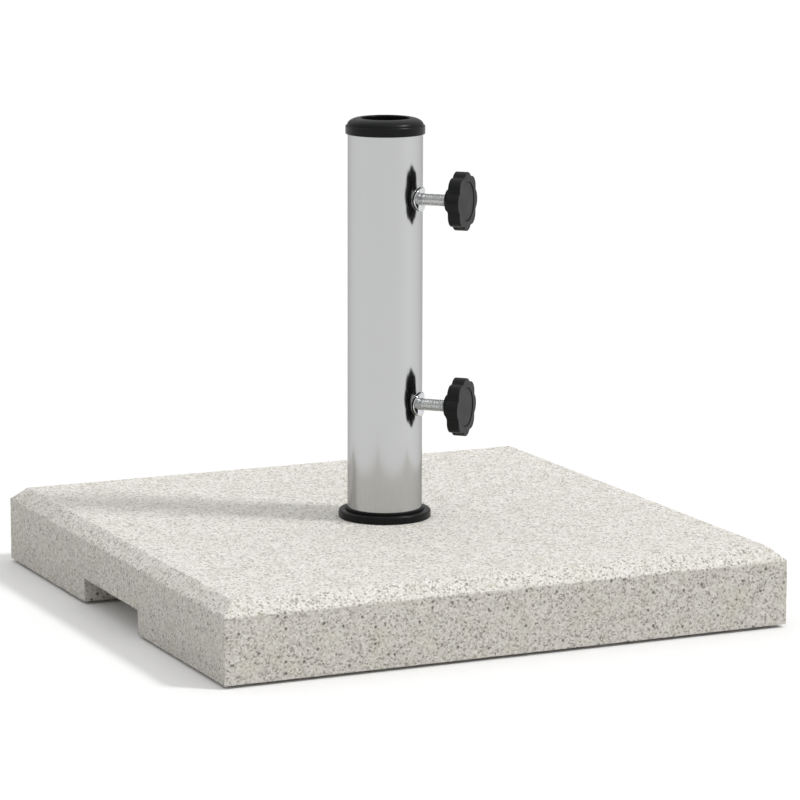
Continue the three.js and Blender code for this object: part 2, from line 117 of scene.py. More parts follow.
def make_floor():
    """A plain pale floor. Its faint gloss towards the lamp shows in the tube."""
    data = bpy.data.meshes.new("floor")
    side = FLOOR_HALF_SIDE
    corners = [(-side, -side, 0), (side, -side, 0), (side, side, 0), (-side, side, 0)]
    data.from_pydata(corners, [], [(0, 1, 2, 3)])
    floor = bpy.data.objects.new("floor", data)
    bpy.context.collection.objects.link(floor)
    pale = Paint("floor_paint")
    pale.set("Base Color", grey(FLOOR_TONE))
    pale.set("Roughness", FLOOR_ROUGHNESS)
    pale.set("Specular IOR Level", 0.5)
    data.materials.append(pale.material)


# ---- Material helpers -------------------------------------------------------------------------------


def grey(tone):
    return (tone, tone, tone, 1)


def rgb(red, green, blue):
    """A colour from screen values of 0 to 255."""
    return tuple((value / 255) ** 2.2 for value in (red, green, blue)) + (1.0,)


def scaled(tone, factor):
    """A linear (red, green, blue) tone made lighter or darker, as a colour."""
    return tuple(factor * value for value in tone) + (1,)


class Paint:
    """A node material on one Principled shader, with short calls for the nodes used here."""

    def __init__(self, name):
        self.material = bpy.data.materials.new(name)
        self.material.use_nodes = True
        self.nodes = self.material.node_tree.nodes
        self.links = self.material.node_tree.links
        self.shader = self.nodes["Principled BSDF"]
        self.place = self.node("ShaderNodeTexCoord").outputs["Object"]

    def set(self, name, value):
        """Sets one of the shader's sockets to a constant, or links it to another's output."""
        self.feed(self.shader.inputs[name], value)

    def node(self, kind, **settings):
        made = self.nodes.new(kind)
        for name, value in settings.items():
            setattr(made, name, value)
        return made

    def feed(self, socket, value):
        """Links a socket to another's output, or sets it to a constant."""
        if isinstance(value, bpy.types.NodeSocket):
            self.links.new(value, socket)
        else:
            socket.default_value = value

    def math(self, operation, *values):
        made = self.node("ShaderNodeMath", operation=operation)
        for socket, value in zip(made.inputs, values):
            self.feed(socket, value)
        return made.outputs[0]

    def stretch(self, scale):
        """Object coordinates in metres, scaled by a different amount along each axis."""
        made = self.node("ShaderNodeMapping")
        self.links.new(self.place, made.inputs["Vector"])
        made.inputs["Scale"].default_value = scale
        return made.outputs["Vector"]

    def noise(self, size, detail=3.0, rough=0.5, place=None):
        """Noise from 0 to 1 whose blobs are about size metres across."""
        made = self.node("ShaderNodeTexNoise")
        self.links.new(place or self.place, made.inputs["Vector"])
        made.inputs["Scale"].default_value = 1 / size
        made.inputs["Detail"].default_value = detail
        made.inputs["Roughness"].default_value = rough
        return made.outputs["Fac"]

    def cells(self, size, place):
        """A cell pattern: the node, whose outputs are Distance, Color and Position."""
        made = self.node("ShaderNodeTexVoronoi")
        self.links.new(place, made.inputs["Vector"])
        made.inputs["Scale"].default_value = 1 / size
        return made

    def random(self, cells):
        """One random value for each cell of a cell pattern."""
        made = self.node("ShaderNodeSeparateColor")
        self.links.new(cells.outputs["Color"], made.inputs["Color"])
        return made.outputs[0]

    def warped(self, size, amount):
        """Object coordinates pushed about by noise, so that grains have ragged outlines."""
        swirl = self.node("ShaderNodeTexNoise")
        self.links.new(self.place, swirl.inputs["Vector"])
        swirl.inputs["Scale"].default_value = 1 / size
        made = self.node("ShaderNodeVectorMath", operation="MULTIPLY_ADD")
        self.links.new(swirl.outputs["Color"], made.inputs[0])
        made.inputs[1].default_value = (amount, amount, amount)
        self.links.new(self.place, made.inputs[2])
        return made.outputs["Vector"]

    def facing(self):
        """How far a face looks up: 1 on top, 0 on the sides."""
        made = self.node("ShaderNodeSeparateXYZ")
        self.links.new(self.node("ShaderNodeTexCoord").outputs["Normal"], made.inputs["Vector"])
        return made.outputs["Z"]

    def level(self, value, low, high, to_low=0.0, to_high=1.0):
        """Maps low to high on to a new range, clamped."""
        made = self.node("ShaderNodeMapRange")
        for socket, given in zip(made.inputs, (value, low, high, to_low, to_high)):
            self.feed(socket, given)
        return made.outputs["Result"]

    def mix(self, amount, first, second):
        made = self.node("ShaderNodeMix", data_type="RGBA")
        self.feed(made.inputs["Factor"], amount)
        self.feed(made.inputs[6], first)
        self.feed(made.inputs[7], second)
        return made.outputs[2]

    def ramp(self, value, stops):
        """A colour ramp from (position, colour) stops."""
        made = self.node("ShaderNodeValToRGB")
        elements = made.color_ramp.elements
        while len(elements) < len(stops):
            elements.new(0.5)
        for element, (position, colour) in zip(elements, stops):
            element.position = position
            element.color = colour
        self.links.new(value, made.inputs["Fac"])
        return made.outputs["Color"]

    def bump(self, height, distance):
        made = self.node("ShaderNodeBump")
        made.inputs["Distance"].default_value = distance
        made.inputs["Strength"].default_value = 1.0
        self.links.new(height, made.inputs["Height"])
        self.links.new(made.outputs["Normal"], self.shader.inputs["Normal"])


# ---- Materials --------------------------------------------------------------------------------------

GRAIN_SIZE = 1.15 * MM
# Sawn sides: grain colours kept darker than the top's, partly painted shade standing in for the dimmer
# light on the sides.
SAWN_GRAINS_WITH_PAINTED_SHADE = (  # (share of the grains, colour), from the darkest to the lightest
    (0.0, rgb(127, 122, 113)),
    (0.10, rgb(148, 143, 134)),
    (0.22, rgb(177, 173, 165)),
    (0.6, rgb(195, 191, 183)),
    (1.0, rgb(212, 209, 202)),
)
# Flamed top: paler grains, partly the flamed finish itself and partly painted light standing in for the
# brighter light on the top.
FLAMED_GRAINS_WITH_PAINTED_LIGHT = (
    (0.0, rgb(148, 143, 133)),
    (0.12, rgb(190, 186, 176)),
    (0.3, rgb(230, 226, 218)),
    (0.7, rgb(246, 243, 236)),
    (1.0, rgb(255, 253, 249)),
)
CRYSTAL_SIZE = 3.4 * MM
CRYSTAL_TONE = rgb(226, 223, 216)
STAIN_SIZE = 17 * MM
STAIN_TONE = rgb(190, 187, 160)
MICA = (  # size of its cells, share of them with a speck, strength, colour
    (2.7 * MM, 0.38, 0.55, rgb(88, 84, 76)),
    (4.4 * MM, 0.24, 0.85, rgb(74, 70, 64)),
)
MICA_ON_TOP = 0.35  # how much of the specks shows on the flamed top
FLAMED_RELIEF = 1.6  # relief of the flamed top, to that of the sawn faces
GRANITE_RELIEF = 0.75 * MM


def mica_specks(paint, around, size, share, upward, strength):
    """Round mica specks in a share of the cells of a pattern, fainter on the flamed top."""
    mica = paint.cells(size, around)
    chosen = paint.level(paint.random(mica), 1 - share, 1.02 - share)
    near = paint.level(mica.outputs["Distance"], 0.14, 0.32, strength, 0.0)
    fade = paint.level(upward, 0.0, 1.0, 1.0, MICA_ON_TOP)
    return paint.math("MULTIPLY", paint.math("MULTIPLY", chosen, near), fade)


def granite():
    """Light granite: fine grey and cream grains and dark mica. The top is rougher and paler, partly from
    its flamed finish and partly from painted light; the sides' darker grains are partly painted shade.
    """
    paint = Paint("light_granite")
    upward = paint.level(paint.facing(), 0.2, 0.95)
    around = paint.warped(size=1.6 * MM, amount=0.8 * MM)
    grain = paint.random(paint.cells(GRAIN_SIZE, around))
    # Painted light and shade: faces that look up, chamfers too, get the paler top colours and the sides
    # the darker ones, beyond what the two finishes give.
    body = paint.mix(upward, paint.ramp(grain, SAWN_GRAINS_WITH_PAINTED_SHADE), paint.ramp(grain, FLAMED_GRAINS_WITH_PAINTED_LIGHT))
    crystal = paint.random(paint.cells(CRYSTAL_SIZE, around))
    body = paint.mix(paint.level(crystal, 0.0, 1.0, 0.0, 0.22), body, CRYSTAL_TONE)
    stain = paint.level(paint.noise(STAIN_SIZE, detail=4), 0.50, 0.68, 0.0, 0.18)
    body = paint.mix(stain, body, STAIN_TONE)
    for size, share, strength, tone in MICA:
        body = paint.mix(mica_specks(paint, around, size, share, upward, strength), body, tone)
    paint.set("Base Color", body)
    paint.set("Specular IOR Level", 0.5)
    paint.set("Roughness", paint.level(paint.noise(4 * MM), 0.3, 0.7, 0.52, 0.70))
    pits = paint.noise(1.7 * MM, detail=4, rough=0.65)
    relief = paint.math("ADD", pits, paint.math("MULTIPLY", grain, 0.25))
    relief = paint.math("MULTIPLY", relief, paint.level(upward, 0.0, 1.0, 1.0, FLAMED_RELIEF))
    paint.bump(relief, GRANITE_RELIEF)
    return paint.material


def satin_stainless():
    """Satin-polished stainless: faint lines round the tube, soft smears in the gloss."""
    paint = Paint("satin_stainless")
    paint.set("Metallic", 1.0)
    paint.set("Base Color", (0.518, 0.520, 0.522, 1))
    paint.set("Specular Tint", grey(0.62))
    lines = paint.noise(30 * MM, detail=6, rough=0.7, place=paint.stretch((0.4, 0.4, 60)))
    smear = paint.level(paint.noise(45 * MM), 0.35, 0.7, 0.0, 0.03)
    paint.set("Roughness", paint.math("ADD", paint.level(lines, 0.3, 0.7, 0.11, 0.15), smear))
    paint.bump(lines, 0.004 * MM)
    return paint.material


def plated(name, tone, rough, rim):
    """Zinc plate or bare steel with a faintly clouded gloss. rim: how bright it is seen edge-on."""
    paint = Paint(name)
    paint.set("Metallic", 1.0)
    paint.set("Specular Tint", grey(rim))
    cloud = paint.noise(6 * MM, detail=5)
    paint.set("Base Color", paint.mix(paint.level(cloud, 0.3, 0.7), scaled(tone, 0.86), scaled(tone, 1)))
    paint.set("Roughness", paint.level(cloud, 0.3, 0.7, rough - 0.05, rough + 0.08))
    paint.bump(paint.noise(0.8 * MM, detail=4), 0.01 * MM)
    return paint.material


def moulded(name, tone, rough, grain, gloss=0.15):
    """Moulded plastic with a fine spark-eroded texture and lightly rubbed patches."""
    paint = Paint(name)
    paint.set("Specular IOR Level", gloss)
    cloud = paint.noise(12 * MM, detail=4)
    paint.set("Base Color", paint.mix(paint.level(cloud, 0.35, 0.7), scaled(tone, 1), scaled(tone, 1.35)))
    paint.set("Roughness", paint.level(cloud, 0.3, 0.7, rough - 0.04, rough + 0.06))
    paint.bump(paint.noise(grain, rough=0.6), 0.02 * MM)
    return paint.material


MATERIALS = {  # by the record's material slots, and polished_zinc for the inserts
    "granite": granite(),
    "stainless_steel": satin_stainless(),
    "zinc_plated_steel": plated("zinc_plate", (0.82, 0.83, 0.83), rough=0.26, rim=0.0),
    "polished_zinc": plated("polished_zinc", (0.74, 0.75, 0.76), rough=0.11, rim=0.8),
    "plain_steel": plated("turned_steel", (0.36, 0.36, 0.37), rough=0.38, rim=0.35),
    "black_plastic": moulded("satin_black_plastic", (0.0055, 0.0058, 0.006), 0.33, 0.5 * MM),
    "knob_plastic": moulded("knob_black_plastic", (0.0075, 0.0078, 0.008), 0.42, 0.35 * MM),
    "rubber": moulded("pad_rubber", (0.02, 0.02, 0.02), 0.8, 0.9 * MM),
    "nylon": moulded("natural_nylon", (0.62, 0.60, 0.54), 0.45, 0.6 * MM, gloss=0.5),
}

# ---- Mesh helpers -----------------------------------------------------------------------------------

RECORD = frame["record"]
BODY_OF = {node: body for body, nodes in RECORD["behaviour"]["bodies"].items() for node in nodes}
SLOT_OF = {part["node"]: part["material_slot"] for part in RECORD["subparts"]}
AROUND = 128  # facets round the tube, cap, ring and flat washer
SMALL = 64  # facets round bolts, pads, inserts and drilled holes
SHARP = math.radians(32)  # edges bent more than this stay sharp
MERGE = 1e-7  # points closer than this are one point
ON_AXIS = 1e-9  # a radius under this is on the axis


def stand_in(node, mesh_data, sharp=SHARP, finish=None):
    """Shows a mesh in place of a CAD node, on the node's body, with its material or a finer one."""
    piece = bpy.data.objects.new(f"{node}_fine", mesh_data)
    bpy.context.collection.objects.link(piece)
    slot = SLOT_OF[node]
    mesh_data.materials.clear()
    mesh_data.materials.append(MATERIALS[finish or slot])
    mesh_data.shade_smooth()
    mesh_data.set_sharp_from_angle(angle=sharp)
    weighted = piece.modifiers.new("even_shading", "WEIGHTED_NORMAL")
    weighted.keep_sharp = True
    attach(piece, BODY_OF[node])
    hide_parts(node)


def to_mesh(name, bm):
    bmesh.ops.remove_doubles(bm, verts=bm.verts, dist=MERGE)
    bmesh.ops.recalc_face_normals(bm, faces=bm.faces)
    data = bpy.data.meshes.new(name)
    bm.to_mesh(data)
    bm.free()
    return data


def rounded(corners, closed=True, steps=5):
    """A profile of (radius, height) points from (radius, height, fillet) corners."""
    points = [Vector(corner[:2]) for corner in corners]
    fillets = [corner[2] if len(corner) > 2 else 0.0 for corner in corners]
    made = []
    for i, (point, fillet) in enumerate(zip(points, fillets)):
        at_end = not closed and i in (0, len(points) - 1)
        if fillet == 0 or at_end:
            made.append(point)
            continue
        before = points[i - 1] - point
        after = points[(i + 1) % len(points)] - point
        half = before.angle(after) / 2
        reach_back = min(fillet / math.tan(half), 0.49 * before.length, 0.49 * after.length)
        inwards = (before.normalized() + after.normalized()).normalized()
        middle = point + inwards * (reach_back / math.cos(half))
        start = point + before.normalized() * reach_back - middle
        bend = start.angle_signed(point + after.normalized() * reach_back - middle)
        for k in range(steps + 1):
            made.append(middle + Matrix.Rotation(-bend * k / steps, 2) @ start)
    return made


def arc(centre, run, rise, start, stop, steps):
    """Points on an elliptic arc, angles in degrees."""
    angles = [math.radians(start + (stop - start) * k / steps) for k in range(steps + 1)]
    return [Vector((centre[0] + run * math.cos(a), centre[1] + rise * math.sin(a))) for a in angles]


def circle(bm, place, height, radii):
    """A loop of points round the local Z axis, one for each radius; on the axis they are one point."""
    if max(radii) < ON_AXIS:
        return [bm.verts.new(place @ Vector((0, 0, height)))] * len(radii)
    loop = []
    for k, radius in enumerate(radii):
        angle = 2 * math.pi * k / len(radii)
        spot = Vector((radius * math.cos(angle), radius * math.sin(angle), height))
        loop.append(bm.verts.new(place @ spot))
    return loop


def skin(bm, loops, closed):
    """Joins each loop of points to the next with faces, and the last to the first if closed."""
    following = loops[1:] + loops[:1] if closed else loops[1:]
    for low, high in zip(loops, following):
        for k in range(len(low)):
            after = (k + 1) % len(low)
            corners = []
            for vertex in (low[k], low[after], high[after], high[k]):
                if vertex not in corners:
                    corners.append(vertex)
            if len(corners) > 2:
                bm.faces.new(corners)


def lathe(bm, profile, place=Matrix(), steps=AROUND, closed=True):
    """Turns a profile about the local Z axis. A profile that isn't closed starts and ends on it."""
    skin(bm, [circle(bm, place, height, [radius] * steps) for radius, height in profile], closed)


def reach(node, direction):
    """How far a CAD node reaches along a direction, as (least, most)."""
    along = [v.co.dot(direction) for v in frame["nodes"][node].data.vertices]
    return min(along), max(along)


def spaced(stops, pitch):
    """Grid lines that pass through each stop, about a pitch apart between them."""
    lines = [stops[0]]
    for a, b in zip(stops, stops[1:]):
        count = max(1, round((b - a) / pitch))
        lines += [a + (b - a) * k / count for k in range(1, count + 1)]
    return lines


def radius_of(node):
    """Half a round node's width across the Z axis of the tube."""
    low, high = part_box(node)
    return (high[0] - low[0]) / 2


def heights(node):
    low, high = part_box(node)
    return low[2], high[2]


def clamp_place(name):
    """The frame of one clamp: local Z runs out along the screw from the tube's axis, local X is up."""
    joint = next(j for j in RECORD["behaviour"]["joints"] if j["name"] == f"{name}_screw_turn")
    outward = Vector(joint["axis"]).normalized()
    side = outward.cross(UP)
    turn = Matrix((UP, side, outward)).transposed()
    return Matrix.Translation((0, 0, joint["pos_m"][2])) @ turn.to_4x4(), outward


def drilled(data, *drills):
    """Cuts (place, radius, low, high) round holes out of a mesh."""
    piece = bpy.data.objects.new("blank", data)
    bpy.context.collection.objects.link(piece)
    for place, radius, low, high in drills:
        bm = bmesh.new()
        lathe(bm, [(0, low), (radius, low), (radius, high), (0, high)], place, SMALL, closed=False)
        cutter = bpy.data.objects.new("cutter", to_mesh("cutter", bm))
        bpy.context.collection.objects.link(cutter)
        cut = piece.modifiers.new("hole", "BOOLEAN")
        cut.object = cutter
        cut.solver = "EXACT"
        ready = piece.evaluated_get(bpy.context.evaluated_depsgraph_get())
        holed = bpy.data.meshes.new_from_object(ready)
        piece.modifiers.remove(cut)
        piece.data = holed
        bpy.data.objects.remove(cutter)
    bpy.data.objects.remove(piece)
    return holed


# ---- Tube, cover ring and cap -----------------------------------------------------------------------

CLAMPS = ("lower", "upper")
TUBE_RADIUS = 25.4 * MM
TUBE_BORE = TUBE_RADIUS - 1.5 * MM
TUBE_ROW = 8 * MM  # height of the tube's mesh rows
INSERT_HOLE = 5.8 * MM
DRILL_START = 10 * MM  # the holes for the inserts are cut through one wall only
DRILL_END = 40 * MM


def make_tube():
    low, high = heights("stand_tube")
    rows = spaced([low + TUBE_ROW, high - TUBE_ROW], TUBE_ROW)
    bm = bmesh.new()
    lathe(bm, rounded([
        (TUBE_BORE, low, 0.2 * MM),
        (TUBE_RADIUS, low, 0.2 * MM),
        *[(TUBE_RADIUS, z) for z in rows],
        (TUBE_RADIUS, high, 0.4 * MM),
        (TUBE_BORE, high, 0.4 * MM),
        *[(TUBE_BORE, z) for z in reversed(rows)],
    ]))
    drills = [(clamp_place(clamp)[0], INSERT_HOLE, DRILL_START, DRILL_END) for clamp in CLAMPS]
    stand_in("stand_tube", drilled(to_mesh("tube", bm), *drills))


def make_ring():
    """Cover ring: a low flat ring with a groove and a lip round the tube."""
    low, high = heights("base_cover_ring")
    outer = radius_of("base_cover_ring")
    inner = outer - 1.6 * MM
    bore = TUBE_RADIUS + 0.1 * MM
    lip = bore + 1.1 * MM
    groove = lip + 0.4 * MM
    top = high - 1.8 * MM
    groove_floor = top - 0.5 * MM
    ceiling = low + 3.3 * MM  # of the hollow that holds the foot's flange
    bm = bmesh.new()
    lathe(bm, rounded([
        (inner, low),
        (outer, low, 0.3 * MM),
        (outer, top, 1.5 * MM),
        (groove + 0.1 * MM, top + 0.1 * MM, 0.15 * MM),
        (groove, groove_floor, 0.1 * MM),
        (lip, groove_floor, 0.1 * MM),
        (lip, high, 0.45 * MM),
        (bore, high, 0.2 * MM),
        (bore, ceiling),
        (inner, ceiling),
    ]))
    stand_in("base_cover_ring", to_mesh("ring", bm))


def make_cap():
    """Domed cap: a band over the tube's end, a dome, a mouth for the pole and a sleeve in the tube."""
    low, high = heights("top_cap")
    band = radius_of("top_cap")
    over_tube = band - 1.15 * MM  # inner radius of the band
    band_low = high - 10.7 * MM
    band_high = band_low + 5.6 * MM
    tube_end = band_low + 3 * MM
    mouth = 16.5 * MM
    lip = 1.0 * MM
    crown = mouth + lip
    guide = mouth + 1.7 * MM  # outside of the collar that guides the pole
    guide_low = band_low - 8 * MM
    roof = high - 2.4 * MM
    sleeve = TUBE_BORE - 0.2 * MM
    sleeve_bore = sleeve - 1.7 * MM
    profile = rounded([
        (over_tube, band_low, 0.2 * MM),
        (band, band_low, 0.6 * MM),
        (band, band_high, 0.7 * MM),
        (band - 0.75 * MM, band_high + 0.05 * MM),
    ])
    profile += arc((crown, band_high), band - 1.0 * MM - crown, high - band_high, 4, 90, 18)
    profile += arc((crown, high - lip), lip, lip, 95, 180, 10)
    profile += rounded([
        (mouth, guide_low, 0.4 * MM),
        (guide, guide_low, 0.4 * MM),
        (guide, roof, 0.5 * MM),
        (sleeve_bore, roof - 1.7 * MM, 0.5 * MM),
        (sleeve_bore, low, 0.3 * MM),
        (sleeve, low, 0.6 * MM),
        (sleeve, tube_end),
        (over_tube, tube_end),
    ])
    bm = bmesh.new()
    lathe(bm, profile)
    stand_in("top_cap", to_mesh("cap", bm))


# ---- Clamps -----------------------------------------------------------------------------------------

SCREW_RADIUS = 4.0 * MM
SCREW_CLEARANCE = 4.15 * MM  # radius of the holes that the screw stands in
THREAD_PITCH = 1.25 * MM
THREAD_DEPTH = 0.77 * MM
THREAD_SHAPE = (0.0, 0.0, 0.35, 0.9, 1.0, 0.9, 0.35, 0.0)  # height over the root, row by row of a turn
THREAD_STEPS = 48  # facets round the thread
THREAD_MERGE = 1e-6
PIN_RADIUS = 1.5 * MM  # the pin that the pressure pad snaps on to
PIN_LENGTH = 2 * MM
HEAD_LENGTH = 5 * MM
HEAD_RADIUS = 13 * MM / math.sqrt(3)  # to the corners of a hexagon 13 mm across its flats


def threaded_rod(bm, place, start, end, radius):
    """A rod with a right-hand thread: a flat root, slopes and a narrow crest, chamfered at its ends."""
    rows_a_turn = len(THREAD_SHAPE)
    rows = (math.ceil((end - start) / THREAD_PITCH) + 1) * rows_a_turn
    row_height = THREAD_PITCH / rows_a_turn
    columns = []
    for k in range(THREAD_STEPS + 1):
        angle = 2 * math.pi * k / THREAD_STEPS
        column = []
        for row in range(rows + 1):
            free = start - THREAD_PITCH + row * row_height + THREAD_PITCH * k / THREAD_STEPS
            z = min(max(free, start), end)
            thread = radius - THREAD_DEPTH * (1 - THREAD_SHAPE[row % rows_a_turn])
            chamfer = radius - THREAD_DEPTH + min(z - start, end - z, THREAD_DEPTH)
            r = min(thread, chamfer)
            spot = Vector((r * math.cos(angle), r * math.sin(angle), z))
            column.append(bm.verts.new(place @ spot))
        columns.append(column)
    for left, right in zip(columns, columns[1:]):
        for row in range(rows):
            bm.faces.new((left[row], right[row], right[row + 1], left[row + 1]))
    bmesh.ops.remove_doubles(bm, verts=bm.verts, dist=THREAD_MERGE)
    bmesh.ops.dissolve_degenerate(bm, edges=bm.edges, dist=THREAD_MERGE)
    bmesh.ops.holes_fill(bm, edges=[edge for edge in bm.edges if edge.is_boundary], sides=0)


def make_screw(name, place, outward):
    """Threaded rod, the pin on its inner end and the hexagon head moulded into the knob."""
    node = f"{name}_clamp_screw"
    start, end = reach(node, outward)
    bm = bmesh.new()
    threaded_rod(bm, place, start + 1.7 * MM, end - 3 * MM, SCREW_RADIUS)
    pin_end = start + PIN_LENGTH
    pin = [(0, start), (PIN_RADIUS, start, 0.3 * MM), (PIN_RADIUS, pin_end), (0, pin_end)]
    lathe(bm, rounded(pin, closed=False), place, SMALL, closed=False)
    back = end - HEAD_LENGTH
    head = [(0, back), (HEAD_RADIUS, back, 0.3 * MM), (HEAD_RADIUS, end, 0.5 * MM), (0, end)]
    lathe(bm, rounded(head, closed=False), place, 6, closed=False)
    stand_in(node, to_mesh(node, bm))


FLANGE_HALF_WIDTH = 10.5 * MM  # across the tube
FLANGE_HALF_HEIGHT = 8.1 * MM
FLANGE_INNER = 26.05 * MM  # the flange is curved like the tube: distances from the tube's axis
FLANGE_OUTER = 26.95 * MM
FLANGE_ROWS = 6  # mesh rows from the hole to the rim
RIM_ROWS = 8  # mesh rows round the rim
INSERT_BODY = 5.5 * MM
INSERT_COLLAR = 7 * MM


def curved_flange(bm, place, bore):
    """An oval plate bent round the tube, with a hole in its middle and a rounded rim."""
    middle = (FLANGE_INNER + FLANGE_OUTER) / 2
    half = (FLANGE_OUTER - FLANGE_INNER) / 2
    rows = [(k / FLANGE_ROWS, half) for k in range(FLANGE_ROWS)]
    rows += [(1, half * math.cos(math.pi * k / RIM_ROWS)) for k in range(RIM_ROWS + 1)]
    rows += [(1 - k / FLANGE_ROWS, -half) for k in range(1, FLANGE_ROWS + 1)]
    loops = []
    for out, lift in rows:
        pull_in = half - math.sqrt(max(0.0, half ** 2 - lift ** 2)) if out == 1 else 0.0
        width = bore + out * (FLANGE_HALF_WIDTH - bore) - pull_in
        height = bore + out * (FLANGE_HALF_HEIGHT - bore) - pull_in
        loop = []
        for k in range(SMALL):
            angle = 2 * math.pi * k / SMALL
            up, across = height * math.cos(angle), width * math.sin(angle)
            out_from_axis = math.sqrt((middle + lift) ** 2 - across ** 2)
            loop.append(bm.verts.new(place @ Vector((up, across, out_from_axis))))
        loops.append(loop)
    skin(bm, loops, closed=True)


def make_insert(name, place, outward):
    """Threaded insert: a barrel through the tube's wall, its swollen collar and the oval flange."""
    node = f"{name}_threaded_insert"
    start = reach(node, outward)[0]
    end = FLANGE_INNER + 0.1 * MM
    bore = SCREW_CLEARANCE
    bm = bmesh.new()
    lathe(bm, rounded([
        (bore, start, 0.3 * MM),
        (INSERT_BODY, start, 0.3 * MM),
        (INSERT_BODY, start + 2.7 * MM, 0.4 * MM),
        (INSERT_COLLAR, start + 3.2 * MM, 0.4 * MM),
        (INSERT_COLLAR, start + 4.7 * MM, 0.4 * MM),
        (INSERT_BODY, start + 4.9 * MM),
        (INSERT_BODY, end),
        (bore, end),
    ]), place, SMALL)
    curved_flange(bm, place, bore)
    stand_in(node, to_mesh(node, bm), finish="polished_zinc")


def make_pressure_pad(name, place, outward):
    """Nylon pad with a blind hole that snaps over the screw's pin."""
    node = f"{name}_pressure_pad"
    start, end = reach(node, outward)
    radius = 3.1 * MM
    hole = 1.7 * MM
    hole_floor = end - 1.9 * MM
    bm = bmesh.new()
    lathe(bm, rounded([
        (0, start),
        (radius, start, 0.6 * MM),
        (radius, end, 0.2 * MM),
        (hole, end, 0.2 * MM),
        (hole, hole_floor),
        (0, hole_floor),
    ], closed=False), place, SMALL, closed=False)
    stand_in(node, to_mesh(node, bm))


LOBES = 8
LOBE_STEPS = 24  # mesh points to a lobe
STAR_RADIUS = 19.8 * MM
LOBE_RADIUS = 8 * MM
VALLEY_RADIUS = 1.4 * MM
KNOB_EDGE = 0.5 * MM  # rounding of the star's edges
EDGE_STEPS = 6
HUB_RADIUS = 7.8 * MM
HUB_LENGTH = 5.8 * MM
CAP_SEAT_RADIUS = 13.25 * MM  # recess that the cap sits in
KNOB_CAP_RADIUS = 13 * MM
KNOB_CAP_STEPS = 96


def star_radius(angle, inset):
    """The star outline's distance from its centre: round lobes joined by tangent round valleys."""
    pitch = 2 * math.pi / LOBES
    lobe_centre = STAR_RADIUS - LOBE_RADIUS
    between = LOBE_RADIUS + VALLEY_RADIUS
    across = lobe_centre * math.sin(pitch / 2)
    valley_centre = lobe_centre * math.cos(pitch / 2) + math.sqrt(between ** 2 - across ** 2)
    off = abs((angle + pitch / 2) % pitch - pitch / 2)
    middle = Vector((lobe_centre, 0))
    valley = valley_centre * Vector((math.cos(pitch / 2), math.sin(pitch / 2)))
    touch = middle + (valley - middle) * ((LOBE_RADIUS - inset) / between)
    if off < math.atan2(touch.y, touch.x):
        beside = lobe_centre * math.sin(off)
        return lobe_centre * math.cos(off) + math.sqrt((LOBE_RADIUS - inset) ** 2 - beside ** 2)
    off = pitch / 2 - off
    beside = valley_centre * math.sin(off)
    return valley_centre * math.cos(off) - math.sqrt((VALLEY_RADIUS + inset) ** 2 - beside ** 2)


def make_knob(name, place, outward):
    """Star knob in one skin: recess for the cap, front face, lobed side, back face and hub."""
    node = f"{name}_knob_grip"
    start, front = reach(node, outward)
    back = start + HUB_LENGTH
    seat = reach(f"{name}_knob_cap", outward)[0] - 0.1 * MM
    socket = start + 4 * MM  # depth of the hole that the screw stands in
    steps = LOBES * LOBE_STEPS
    bm = bmesh.new()

    def round_loops(corners):
        return [circle(bm, place, z, [r] * steps) for r, z in rounded(corners, closed=False)]

    def star_loop(bend, face, inwards):
        inset = KNOB_EDGE * (1 - math.cos(bend))
        z = face + inwards * KNOB_EDGE * (1 - math.sin(bend))
        return circle(bm, place, z, [star_radius(2 * math.pi * k / steps, inset) for k in range(steps)])

    bends = [math.pi / 2 * k / EDGE_STEPS for k in range(EDGE_STEPS + 1)]
    loops = round_loops([
        (0, seat),
        (CAP_SEAT_RADIUS, seat, 0.1 * MM),
        (CAP_SEAT_RADIUS, front, 0.2 * MM),
        (CAP_SEAT_RADIUS + 0.45 * MM, front),
    ])
    loops += [star_loop(bend, front, -1) for bend in reversed(bends)]
    loops += [star_loop(bend, back, 1) for bend in bends]
    loops += round_loops([
        (12 * MM, back),
        (HUB_RADIUS, back, 0.6 * MM),
        (HUB_RADIUS, start, 0.85 * MM),
        (SCREW_CLEARANCE, start, 0.3 * MM),
        (SCREW_CLEARANCE, socket),
        (0, socket),
    ])
    skin(bm, loops, closed=False)
    stand_in(node, to_mesh(node, bm))


def make_knob_cap(name, place, outward):
    """Thin disc pressed into the knob's face over the screw's head."""
    node = f"{name}_knob_cap"
    start, end = reach(node, outward)
    radius = KNOB_CAP_RADIUS
    disc = [(0, start), (radius, start, 0.1 * MM), (radius, end, 0.35 * MM), (0, end)]
    bm = bmesh.new()
    lathe(bm, rounded(disc, closed=False), place, KNOB_CAP_STEPS, closed=False)
    stand_in(node, to_mesh(node, bm))


# ---- Slab and what is under it ----------------------------------------------------------------------

NOTCH_DEPTH = 40 * MM
NOTCH_HALF = 50 * MM
NOTCH_HEIGHT = 16 * MM
CHAMFER_RUN = 9.6 * MM
CHAMFER_RISE = 8.8 * MM
ARRIS = 0.6 * MM  # width of the worn band on both sides of an edge
SLAB_SHARP = math.radians(15)
GRID = 3.2 * MM
RECESS_RADIUS = 25 * MM  # under the slab, for the bolt's head and washers
RECESS_DEPTH = 16 * MM
BOLT_HOLE_RADIUS = 7 * MM
OVERRUN = 5 * MM  # how far a cutter runs past the face that it opens

CREASE = math.radians(30)  # an edge bent more than this wears
FACE_WEAR = 0.09 * MM  # mean depth of the unevenness of a face
EDGE_WEAR = 0.16 * MM  # least extra wear of an edge
EDGE_CHIPS = 0.55 * MM  # most that chips add to it
FACE_WAVES = 60  # waves to a metre
CHIP_WAVES = 130
CHIP_OFFSET = Vector((9, 4, 2))

